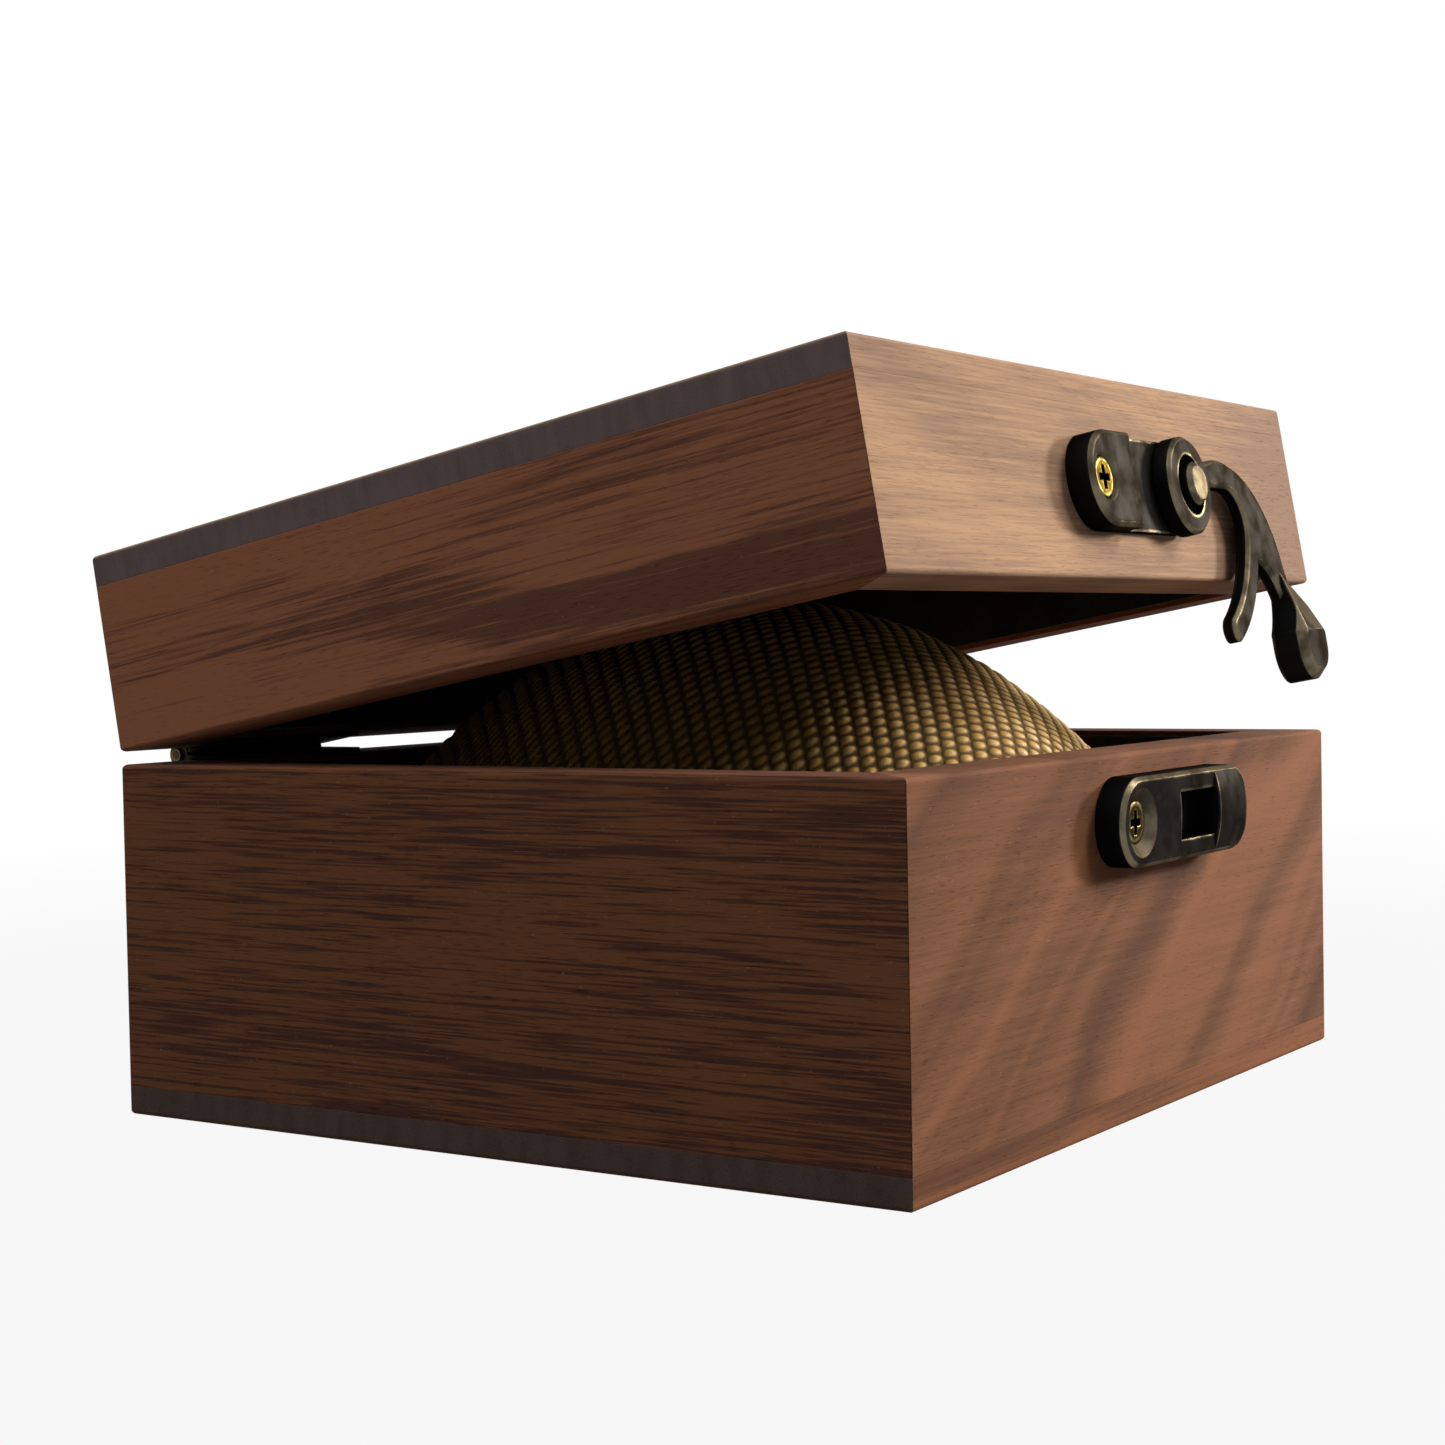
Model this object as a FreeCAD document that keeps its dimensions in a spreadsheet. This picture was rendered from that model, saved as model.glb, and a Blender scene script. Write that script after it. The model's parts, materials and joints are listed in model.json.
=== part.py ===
import FreeCAD, Part
import math
import os
import re
import Sketcher
from FreeCAD import Placement, Rotation, Vector

# Wooden watch box: a mitred base and lid on two butt hinges, a pillow inside, a swing hook at the front.
# Frame: x to the right seen from the front, y to the back, z up, origin under the middle of the base.
# The lid stands ajar by lid_angle, and the hook hangs to the right of its catch.

doc = FreeCAD.newDocument("watch_box")
sheet = doc.addObject("Spreadsheet::Sheet", "Sizes")

# Driving dimensions, millimetres and degrees
sizes = {
    # Box
    "box_width": 100.0,
    "box_depth": 93.0,
    "base_height": 36.6,
    "lid_height": 20.8,
    "joint_gap": 1.0,
    "lid_angle": 9.85,
    "wall_thickness": 7.0,
    "bottom_thickness": 3.0,
    "top_thickness": 3.3,
    "edge_round": 0.5,
    # Lining panels
    "lining_thickness": 0.8,
    "lining_setback": 0.6,
    # Pillow
    "pillow_side_gap": 0.3,
    "pillow_floor_gap": 0.3,
    "pillow_crown_gap": 0.6,
    "pillow_foot_inset": 6.0,
    "pillow_corner": 18.0,
    "pillow_draw_in": 1.5,
    "pillow_shoulder": 15.0,
    "crown_radius": 49.0,
    "crown_power": 1.23,
    # Hinges, seen along the pin with the lid shut
    "hinge_inset": 20.0,
    "hinge_length": 21.0,
    "hinge_leaf_depth": 5.6,
    "hinge_leaf_thickness": 0.45,
    "knuckle_diameter": 2.6,
    "knuckle_end_gap": 0.15,
    "pin_diameter": 1.3,
    "pin_setback": 1.5,
    "pin_end": 0.4,
    "fit_clearance": 0.05,
    "hinge_screw_spacing": 11.0,
    "hinge_screw_inset": 2.9,
    "hinge_screw_diameter": 1.5,
    "hinge_screw_head": 2.3,
    "hinge_screw_length": 6.0,
    # Latch plate on the lid
    "plate_left": 11.6,
    "plate_height": 9.7,
    "plate_floor": 0.9,
    "plate_pad": 2.85,
    "plate_rise": 9.5,
    "pivot_offset": 12.4,
    "groove_radius": 14.1,
    "latch_edge": 0.45,
    # Hook
    "eye_diameter": 10.4,
    "eye_thickness": 2.0,
    "eye_recess": 6.4,
    "eye_recess_depth": 0.9,
    "hook_thickness": 1.5,
    "hook_edge": 0.4,
    "neck_start": 4.6,
    "neck_rise": 0.2,
    "neck_width": 2.2,
    "bend_radius": 4.0,
    "arm_radius": 14.9,
    "claw_width": 2.9,
    "claw_angle": 62.0,
    "crotch_angle": 24.5,
    "waist_radius": 8.5,
    "horn_reach": 6.9,
    "horn_angle": 14.0,
    "ramp_reach": 6.8,
    "ramp_angle": 22.0,
    "knob_reach": 12.2,
    "knob_angle": 34.7,
    "knob_width": 7.4,
    "knob_length": 9.2,
    "knob_thickness": 3.9,
    "knob_edge": 1.0,
    "rivet_diameter": 3.0,
    "rivet_head": 4.6,
    "rivet_rise": 1.0,
    "rivet_edge": 0.5,
    # Catch on the base
    "catch_left": 13.0,
    "catch_right": 17.0,
    "catch_height": 8.9,
    "catch_thickness": 3.0,
    "catch_drop": 6.65,
    "catch_floor": 0.55,
    "catch_corner": 2.4,
    "slot_height": 4.8,
    "slot_start": 1.2,
    "bridge_length": 7.2,
    "bridge_clearance": 0.3,
    "bridge_crown": 0.65,
    # Latch screws
    "screw_offset": 8.4,
    "screw_head": 4.2,
    "screw_diameter": 2.4,
    "screw_length": 7.5,
    "screw_sink": 0.3,
    "dish_diameter": 6.8,
    "dish_depth": 0.5,
    "cross_length": 2.4,
    "cross_width": 0.7,
    "cross_depth": 0.7,
}
for row, (name, number) in enumerate(sizes.items(), start=1):
    sheet.set("A%d" % row, name)
    sheet.set("B%d" % row, str(number))
    sheet.setAlias("B%d" % row, name)
doc.recompute()


def bound(text):
    # An expression written with the sizes' own names, as the document reads it
    return re.sub(r"[a-z]\w+", lambda word: "Sizes." + word[0] if word[0] in sizes else word[0], text)


def value(text):
    return float(sheet.evalExpression(bound(text)))


# Measures that several pieces share
inner_x = "(box_width / 2 - wall_thickness)"
inner_y = "(box_depth / 2 - wall_thickness)"
pin_height = "(base_height + joint_gap / 2)"
pin_place = "(box_depth / 2 + pin_setback)"
lid_front = "(-pin_setback - box_depth)"
lid_middle = "(-pin_setback - box_depth / 2)"
lid_foot = "(joint_gap / 2)"
ceiling = "(joint_gap / 2 + lid_height - top_thickness - lining_thickness)"
hook_back = "(plate_floor + fit_clearance)"
reach = "(plate_rise + joint_gap + catch_drop)"
hinge_offset = "(box_width / 2 - hinge_inset)"
plate_screw_top = "plate_pad - screw_sink"
catch_screw_top = "catch_thickness - dish_depth - screw_sink"

# The lid's own frame lies on the hinge pin and is turned up by the lid's angle
lid_turn = Rotation(Vector(1, 0, 0), -value("lid_angle"))
lid_frame = Placement(Vector(0, value(pin_place), value(pin_height)), lid_turn)
base_frame = Placement()
nodes = []


def place(item, frame, x="0", y="0", z="0", turn=Rotation()):
    # A finished piece and its place in the base's or the lid's frame
    nodes.append((item, frame.multiply(Placement(Vector(value(x), value(y), value(z)), turn))))


def new_body(label):
    body = doc.addObject("PartDesign::Body", label)
    body.Label = label
    return body


def sketch_on(body, plane, name, offset="0", shift="0"):
    # Sketch on one of the body's own planes, moved along the plane's normal and along its first axis
    sketch = body.newObject("Sketcher::SketchObject", name)
    support = next(feature for feature in body.Origin.OriginFeatures if feature.Role == plane)
    sketch.AttachmentSupport = [(support, "")]
    sketch.MapMode = "FlatFace"
    sketch.setExpression("AttachmentOffset.Base.z", bound(offset))
    sketch.setExpression("AttachmentOffset.Base.x", bound(shift))
    return sketch


def hold(sketch, constraint, text):
    sketch.setExpression("Constraints[%d]" % sketch.addConstraint(constraint), bound(text))


def draw_outline(sketch, corners):
    # Closed outline, drawn anticlockwise. A corner is (x, y) or (x, y, radius): a radius makes the edge
    # to the next corner an arc under a half circle, hollow where the radius has a minus sign.
    points = [Vector(value(corner[0]), value(corner[1]), 0) for corner in corners]
    edges = []
    for index, corner in enumerate(corners):
        start, end = points[index], points[(index + 1) % len(points)]
        if len(corner) == 2:
            edges.append((sketch.addGeometry(Part.LineSegment(start, end), False), 1, 2))
            continue
        radius = value(corner[2].lstrip("-"))
        hollow = corner[2].startswith("-")
        chord = end - start
        side = Vector(-chord.y, chord.x, 0).normalize() * (-1 if hollow else 1)
        centre = (start + end) * 0.5 + side * math.sqrt(radius ** 2 - (chord.Length / 2) ** 2)
        first, last = (end, start) if hollow else (start, end)
        angles = [math.atan2(point.y - centre.y, point.x - centre.x) for point in (first, last)]
        if angles[1] < angles[0]:
            angles[1] += 2 * math.pi
        arc = Part.ArcOfCircle(Part.Circle(centre, Vector(0, 0, 1), radius), *angles)
        edges.append((sketch.addGeometry(arc, False), 2 if hollow else 1, 1 if hollow else 2))
    for index, corner in enumerate(corners):
        edge, start, end = edges[index]
        follower = edges[(index + 1) % len(edges)]
        sketch.addConstraint(Sketcher.Constraint("Coincident", edge, end, follower[0], follower[1]))
        hold(sketch, Sketcher.Constraint("DistanceX", -1, 1, edge, start, points[index].x), corner[0])
        hold(sketch, Sketcher.Constraint("DistanceY", -1, 1, edge, start, points[index].y), corner[1])
        if len(corner) == 3:
            text = corner[2].lstrip("-")
            hold(sketch, Sketcher.Constraint("Radius", edge, value(text)), text)


def draw_circle(sketch, diameter, x="0", y="0"):
    centre = Vector(value(x), value(y), 0)
    circle = sketch.addGeometry(Part.Circle(centre, Vector(0, 0, 1), value(diameter) / 2), False)
    hold(sketch, Sketcher.Constraint("Diameter", circle, value(diameter)), diameter)
    hold(sketch, Sketcher.Constraint("DistanceX", -1, 1, circle, 3, centre.x), x)
    hold(sketch, Sketcher.Constraint("DistanceY", -1, 1, circle, 3, centre.y), y)


def pad(body, sketch, length, symmetric=False):
    feature = body.newObject("PartDesign::Pad", sketch.Name + "_pad")
    feature.Profile = sketch
    feature.SideType = "Symmetric" if symmetric else "One side"
    feature.setExpression("Length", bound(length))
    doc.recompute()


def cut(body, kind, sketch, length=None, forward=False):
    # Pocket or groove. Against the sketch's normal unless forward, right through unless a length is given.
    before = body.Shape.Volume
    feature = body.newObject("PartDesign::" + kind, sketch.Name + "_cut")
    feature.Profile = sketch
    if kind == "Groove":
        feature.ReferenceAxis = (sketch, ["V_Axis"])
    elif length:
        feature.setExpression("Length", bound(length))
        feature.Reversed = forward
    else:
        feature.Type = "ThroughAll"
        feature.Reversed = forward
    doc.recompute()
    if body.Shape.Volume >= before:
        raise RuntimeError(feature.Label + " removes nothing")


def revolve(body, sketch):
    feature = body.newObject("PartDesign::Revolution", sketch.Name + "_turned")
    feature.Profile = sketch
    feature.ReferenceAxis = (sketch, ["V_Axis"])
    doc.recompute()


def ease_face(body, kind, name, direction, size):
    # Fillet or chamfer every edge of the face that lies furthest in a direction
    faces = body.Shape.Faces
    furthest = max(range(len(faces)), key=lambda index: faces[index].CenterOfMass.dot(direction))
    before = body.Tip
    feature = body.newObject("PartDesign::" + kind, name)
    feature.Base = (before, ["Face%d" % (furthest + 1)])
    feature.setExpression("Radius" if kind == "Fillet" else "Size", bound(size))
    doc.recompute()


def primitive(kind, name, x="0", y="0", z="0", turn=Rotation(), **measures):
    item = doc.addObject("Part::" + kind, name)
    item.Label = name
    item.Placement = Placement(Vector(), turn)
    for axis, text in (("x", x), ("y", y), ("z", z)):
        if text != "0":
            item.setExpression("Placement.Base." + axis, bound(text))
    for measure, text in measures.items():
        item.setExpression(measure, bound(text))
    return item


outward = Vector(0, -1, 0)
upward = Vector(0, 0, 1)


# Boards over the walls

def make_board(label, thickness, shown_side):
    body = new_body(label)
    sketch = sketch_on(body, "XY_Plane", label + "_outline")
    draw_outline(sketch, [
        ("-box_width / 2", "-box_depth / 2"), ("box_width / 2", "-box_depth / 2"),
        ("box_width / 2", "box_depth / 2"), ("-box_width / 2", "box_depth / 2")])
    pad(body, sketch, thickness)
    ease_face(body, "Fillet", label + "_edge", shown_side, "edge_round")
    return body


place(make_board("base_bottom_board", "bottom_thickness", -upward), base_frame)
place(make_board("lid_top_board", "top_thickness", upward), lid_frame,
      y=lid_middle, z="joint_gap / 2 + lid_height - top_thickness")


# Mitred walls. A wall lies along x with its outer face on y = 0 and its foot on z = 0.

def make_wall(label, length, height, rim_at_top):
    body = new_body(label)
    sketch = sketch_on(body, "YZ_Plane", label + "_section")
    if rim_at_top:
        corners = [("0", "0"), ("wall_thickness", "0"), ("wall_thickness", height),
                   ("edge_round", height, "edge_round"), ("0", height + " - edge_round")]
    else:
        corners = [("0", "edge_round", "edge_round"), ("edge_round", "0"), ("wall_thickness", "0"),
                   ("wall_thickness", height), ("0", height)]
    draw_outline(sketch, corners)
    pad(body, sketch, length, symmetric=True)
    mitre = sketch_on(body, "XY_Plane", label + "_mitre")
    end = length + " / 2"
    draw_outline(mitre, [(end, "0"), (end, "wall_thickness"), (end + " - wall_thickness", "wall_thickness")])
    draw_outline(mitre, [
        ("-" + end, "0"), ("wall_thickness - " + end, "wall_thickness"), ("-" + end, "wall_thickness")])
    cut(body, "Pocket", mitre, forward=True)
    return body


def drill_hinge_holes(body, rim, forward):
    # Pilot holes of the hinge screws, straight into the rim
    sketch = sketch_on(body, "XY_Plane", body.Name + "_pilots", offset=rim)
    for hinge in ("-" + hinge_offset, hinge_offset):
        for step in (" - hinge_screw_spacing / 2", " + hinge_screw_spacing / 2"):
            draw_circle(sketch, "hinge_screw_diameter + 2 * fit_clearance", hinge + step, "hinge_screw_inset")
    cut(body, "Pocket", sketch, length="hinge_screw_length", forward=forward)


def drill_latch_hole(body, height, screw_top):
    # Pilot hole of a latch screw, straight into the outer face, just deeper than the screw's tip
    sketch = sketch_on(body, "XZ_Plane", body.Name + "_pilot")
    draw_circle(sketch, "screw_diameter + 2 * fit_clearance", "-screw_offset", height)
    cut(body, "Pocket", sketch, length="screw_length - (%s) + fit_clearance" % screw_top)


base_wall_height = "(base_height - bottom_thickness)"
lid_wall_height = "(lid_height - top_thickness)"
wall_sides = (
    ("front", "box_width", "0", "-1", 0),
    ("right", "box_depth", "1", "0", 90),
    ("back", "box_width", "0", "1", 180),
    ("left", "box_depth", "-1", "0", 270),
)
for side, length, across, along, turn in wall_sides:
    wall_x = across + " * box_width / 2"
    wall_y = along + " * box_depth / 2"
    base_wall = make_wall("base_%s_wall" % side, length, base_wall_height, rim_at_top=True)
    lid_wall = make_wall("lid_%s_wall" % side, length, lid_wall_height, rim_at_top=False)
    if side == "back":
        drill_hinge_holes(base_wall, base_wall_height, forward=False)
        drill_hinge_holes(lid_wall, "0", forward=True)
    if side == "front":
        drill_latch_hole(base_wall, base_wall_height + " - catch_drop", catch_screw_top)
        drill_latch_hole(lid_wall, "plate_rise", plate_screw_top)
    facing = Rotation(upward, turn)
    place(base_wall, base_frame, wall_x, wall_y, "bottom_thickness", facing)
    place(lid_wall, lid_frame, wall_x, lid_middle + " + " + wall_y, lid_foot, facing)


# Lining panels: a floor or ceiling panel, long front and back panels, side panels between them

def make_lining(half, frame, middle, flat_name, flat_height, foot, height):
    def panel(label, x, y, z, length, width, tall):
        item = primitive("Box", label, Length=length, Width=width, Height=tall)
        place(item, frame, x, middle + " + " + y, z)

    thickness = "lining_thickness"
    long_side = "2 * " + inner_x
    short_side = "2 * %s - 2 * lining_thickness" % inner_y
    panel("%s_%s_lining" % (half, flat_name), "-" + inner_x, "-" + inner_y, flat_height,
          long_side, "2 * " + inner_y, thickness)
    panel(half + "_front_lining", "-" + inner_x, "-" + inner_y, foot, long_side, thickness, height)
    panel(half + "_back_lining", "-" + inner_x, inner_y + " - lining_thickness", foot,
          long_side, thickness, height)
    panel(half + "_left_lining", "-" + inner_x, "-%s + lining_thickness" % inner_y, foot,
          thickness, short_side, height)
    panel(half + "_right_lining", inner_x + " - lining_thickness", "-%s + lining_thickness" % inner_y, foot,
          thickness, short_side, height)


make_lining("base", base_frame, "0", "floor", "bottom_thickness", "bottom_thickness + lining_thickness",
            "base_height - bottom_thickness - lining_thickness - lining_setback")
make_lining("lid", lid_frame, lid_middle, "ceiling", ceiling, "joint_gap / 2 + lining_setback",
            "lid_height - top_thickness - lining_thickness - lining_setback")


# Watch pillow: a square cushion with drawn-in sides, turned into a round crown above its shoulder

pillow_x = "(%s - lining_thickness - pillow_side_gap)" % inner_x
pillow_y = "(%s - lining_thickness - pillow_side_gap)" % inner_y
pillow_foot = "(bottom_thickness + lining_thickness + pillow_floor_gap)"
pillow_top = "(%s + %s - pillow_crown_gap)" % (pin_height, ceiling)
pillow_rise = "(%s - %s)" % (pillow_top, pillow_foot)


def square_section(half_x, half_y):
    # Rounded square whose sides curve in by pillow_draw_in between the corners
    def hollow(half):
        return "-((%s - pillow_corner) ^ 2 + pillow_draw_in ^ 2) / (2 * pillow_draw_in)" % half

    long_x, long_y = "(%s - pillow_corner)" % half_x, "(%s - pillow_corner)" % half_y
    return [(half_x, "-" + long_y, hollow(half_y)), (half_x, long_y, "pillow_corner"),
            (long_x, half_y, hollow(half_x)), ("-" + long_x, half_y, "pillow_corner"),
            ("-" + half_x, long_y, hollow(half_y)), ("-" + half_x, "-" + long_y, "pillow_corner"),
            ("-" + long_x, "-" + half_y, hollow(half_x)), (long_x, "-" + half_y, "pillow_corner")]


def crown_profile(chords):
    # From the top to the shoulder in equal steps of an angle: the radius is crown_radius times its cosine,
    # and the height over the shoulder is the rise times a power of its sine
    angles = [90 - 90 * step / chords for step in range(chords + 1)]
    height = "pillow_shoulder + (%s - pillow_shoulder) * sin(%s) ^ (2 / crown_power)"
    return [("crown_radius * cos(%s)" % angle if angle < 90 else "0", height % (pillow_rise, angle))
            for angle in angles]


def make_pillow():
    body = new_body("watch_pillow")
    foot = sketch_on(body, "XY_Plane", "pillow_foot_outline")
    foot_x, foot_y = "(%s - pillow_foot_inset)" % pillow_x, "(%s - pillow_foot_inset)" % pillow_y
    draw_outline(foot, square_section(foot_x, foot_y))
    shoulder = sketch_on(body, "XY_Plane", "pillow_shoulder_outline", offset="pillow_shoulder")
    draw_outline(shoulder, square_section(pillow_x, pillow_y))
    loft = body.newObject("PartDesign::AdditiveLoft", "pillow_sides")
    loft.Profile = foot
    loft.Sections = [shoulder]
    doc.recompute()
    block = sketch_on(body, "XY_Plane", "pillow_block_outline", offset="pillow_shoulder")
    draw_outline(block, square_section(pillow_x, pillow_y))
    pad(body, block, "%s - pillow_shoulder + pillow_crown_gap" % pillow_rise)
    crown = sketch_on(body, "XZ_Plane", "pillow_crown_profile")
    past = "crown_radius + pillow_corner"
    over = "%s + 2 * pillow_crown_gap" % pillow_rise
    draw_outline(crown, [(past, "pillow_shoulder"), (past, over), ("0", over)] + crown_profile(chords=8))
    cut(body, "Groove", crown)
    return body


place(make_pillow(), base_frame, z=pillow_foot)


# Butt hinges, measured from the pin with the lid shut. Side is -1 on the base and 1 on the lid.

along_x = Rotation(Vector(0, 1, 0), 90)
third = "(hinge_length / 3)"


def make_hinge_leaf(label, hinge_x, side):
    knuckles = [("-" + third + " / 2 + knuckle_end_gap / 2", third + " - knuckle_end_gap")]
    if side < 0:
        outer = third + " - knuckle_end_gap / 2"
        knuckles = [("-hinge_length / 2", outer), (third + " / 2 + knuckle_end_gap / 2", outer)]
    foot = "-joint_gap / 2" if side < 0 else "joint_gap / 2 - hinge_leaf_thickness"
    bodies = [primitive("Box", label + "_plate", hinge_x + " - hinge_length / 2",
                        "-pin_setback - hinge_leaf_depth", foot,
                        Length="hinge_length", Width="hinge_leaf_depth", Height="hinge_leaf_thickness")]
    for index, (start, length) in enumerate(knuckles):
        x = hinge_x + " + " + start
        bodies.append(primitive("Box", "%s_tongue_%d" % (label, index), x, "-pin_setback", foot,
                                Length=length, Width="pin_setback", Height="hinge_leaf_thickness"))
        bodies.append(primitive("Cylinder", "%s_knuckle_%d" % (label, index), x, turn=along_x,
                                Radius="knuckle_diameter / 2", Height=length))
    solid = doc.addObject("Part::MultiFuse", label + "_solid")
    solid.Shapes = bodies
    solid.Refine = True
    tools = [primitive("Cylinder", label + "_bore", hinge_x + " - hinge_length", turn=along_x,
                       Radius="pin_diameter / 2 + fit_clearance", Height="2 * hinge_length")]
    for index, step in enumerate((" - hinge_screw_spacing / 2", " + hinge_screw_spacing / 2")):
        tools.append(screw_cone("%s_sink_%d" % (label, index), hinge_x + step, side, "fit_clearance"))
    holes = doc.addObject("Part::MultiFuse", label + "_holes")
    holes.Shapes = tools
    leaf = doc.addObject("Part::Cut", label)
    leaf.Label = label
    leaf.Base = solid
    leaf.Tool = holes
    doc.recompute()
    return leaf


def screw_cone(name, x, side, play):
    # Countersink through a leaf: wide at the face that meets the other leaf, as narrow as the shank below it
    wide, narrow = "hinge_screw_head / 2 + " + play, "hinge_screw_diameter / 2 + " + play
    ends = (narrow, wide) if side < 0 else (wide, narrow)
    foot = "-joint_gap / 2" if side < 0 else "joint_gap / 2 - hinge_leaf_thickness"
    return primitive("Cone", name, x, "-pin_setback - hinge_screw_inset", foot,
                     Radius1=ends[0], Radius2=ends[1], Height="hinge_leaf_thickness")


def make_hinge_screws(label, side):
    screws = []
    shank = "(hinge_screw_length - hinge_leaf_thickness)"
    foot = "-joint_gap / 2 - " + shank if side < 0 else "joint_gap / 2"
    for hinge in ("-" + hinge_offset, hinge_offset):
        for step in (" - hinge_screw_spacing / 2", " + hinge_screw_spacing / 2"):
            name = "%s_%d" % (label, len(screws))
            head = screw_cone(name + "_head", hinge + step, side, "0")
            stem = primitive("Cylinder", name + "_shank", hinge + step,
                             "-pin_setback - hinge_screw_inset", foot,
                             Radius="hinge_screw_diameter / 2", Height=shank)
            screw = doc.addObject("Part::Fuse", name)
            screw.Base = head
            screw.Tool = stem
            screws.append(screw)
    group = doc.addObject("Part::Compound", label)
    group.Label = label
    group.Links = screws
    doc.recompute()
    return group


for hinge, hinge_x in (("left", "-" + hinge_offset), ("right", hinge_offset)):
    place(make_hinge_leaf(hinge + "_hinge_base_leaf", hinge_x, -1), base_frame, y=pin_place, z=pin_height)
    place(make_hinge_leaf(hinge + "_hinge_lid_leaf", hinge_x, 1), lid_frame)
    pin = primitive("Cylinder", hinge + "_hinge_pin",
                    Radius="pin_diameter / 2", Height="hinge_length + 2 * pin_end")
    place(pin, base_frame, hinge_x + " - hinge_length / 2 - pin_end", pin_place, pin_height, along_x)
place(make_hinge_screws("hinge_base_screws", -1), base_frame, y=pin_place, z=pin_height)
place(make_hinge_screws("hinge_lid_screws", 1), lid_frame)


# Latch screws, rivet, plate, hook and catch: each is drawn on the front face and built outwards from it

def make_latch_screw(label, top):
    body = new_body(label)
    sketch = sketch_on(body, "XY_Plane", label + "_profile")
    slope = "(screw_head - screw_diameter) / 2"
    tip = "screw_length - (%s)" % top
    draw_outline(sketch, [
        ("0", "-(%s)" % top), ("screw_head / 2", "-(%s)" % top),
        ("screw_diameter / 2", "%s - (%s)" % (slope, top)),
        ("screw_diameter / 2", "%s - screw_diameter" % tip), ("0", tip)])
    revolve(body, sketch)
    cross = sketch_on(body, "XZ_Plane", label + "_cross", offset=top)
    arm, half = "cross_length / 2", "cross_width / 2"
    draw_outline(cross, [
        (arm, "-" + half), (arm, half), (half, half), (half, arm), ("-" + half, arm), ("-" + half, half),
        ("-" + arm, half), ("-" + arm, "-" + half), ("-" + half, "-" + half), ("-" + half, "-" + arm),
        (half, "-" + arm), (half, "-" + half)])
    cut(body, "Pocket", cross, length="cross_depth")
    return body


def sink_screw(body, name, face, dish):
    # Countersunk hole for a latch screw, in a dish where dish is its depth
    sketch = sketch_on(body, "XY_Plane", name, shift="-screw_offset")
    seat = "screw_head / 2 + fit_clearance"
    neck = "screw_diameter / 2 + fit_clearance"
    rim = "dish_diameter / 2" if dish != "0" else seat + " + screw_sink"
    floor = "%s - (%s)" % (face, dish)
    over = face + " + screw_head"
    draw_outline(sketch, [
        ("0", "-(%s)" % over), (rim, "-(%s)" % over), (rim, "-(%s)" % face),
        (seat, "screw_sink - (%s)" % floor),
        (neck, "screw_sink + (screw_head - screw_diameter) / 2 - (%s)" % floor), (neck, "screw_length"),
        ("0", "screw_length")])
    cut(body, "Groove", sketch)


def make_latch_plate():
    # Oblong plate: a thick pad under the screw, hollowed round the hook's eye, and a thin floor under the eye
    body = new_body("latch_plate")
    half = "plate_height / 2"
    left = "(plate_height / 2 - plate_left)"
    floor = sketch_on(body, "XZ_Plane", "plate_floor_outline")
    draw_outline(floor, [
        (left, "-" + half), ("pivot_offset", "-" + half, half), ("pivot_offset + " + half, "0", half),
        ("pivot_offset", half), (left, half, half), ("-plate_left", "0", half)])
    pad(body, floor, "plate_floor")
    raised = sketch_on(body, "XZ_Plane", "plate_pad_outline")
    edge = "pivot_offset - sqrt(groove_radius ^ 2 - (plate_height / 2) ^ 2)"
    draw_outline(raised, [
        (left, "-" + half), (edge, "-" + half, "-groove_radius"), (edge, half), (left, half, half),
        ("-plate_left", "0", half)])
    pad(body, raised, "plate_pad")
    ease_face(body, "Chamfer", "plate_pad_edge", outward, "latch_edge")
    sink_screw(body, "plate_screw_hole", "plate_pad", "0")
    pivot = sketch_on(body, "XZ_Plane", "plate_pivot_hole", offset="plate_pad")
    draw_circle(pivot, "rivet_diameter + 2 * fit_clearance", "pivot_offset")
    cut(body, "Pocket", pivot)
    return body


def make_rivet():
    body = new_body("latch_rivet")
    sketch = sketch_on(body, "XY_Plane", "rivet_profile")
    eye_front = "(%s + eye_thickness)" % hook_back
    under = "(%s - eye_recess_depth + fit_clearance)" % eye_front
    top = "(%s + rivet_rise)" % eye_front
    draw_outline(sketch, [
        ("0", "-" + top), ("rivet_head / 2 - rivet_edge", "-" + top),
        ("rivet_head / 2", "rivet_edge - " + top), ("rivet_head / 2", "-" + under),
        ("rivet_diameter / 2", "-" + under), ("rivet_diameter / 2", "0"), ("0", "0")])
    revolve(body, sketch)
    return body


def polar(radius, angle):
    # Point at a radius from the pivot, at an angle below the level line to the right
    return ("(%s) * cos(%s)" % (radius, angle), "-(%s) * sin(%s)" % (radius, angle))


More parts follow.
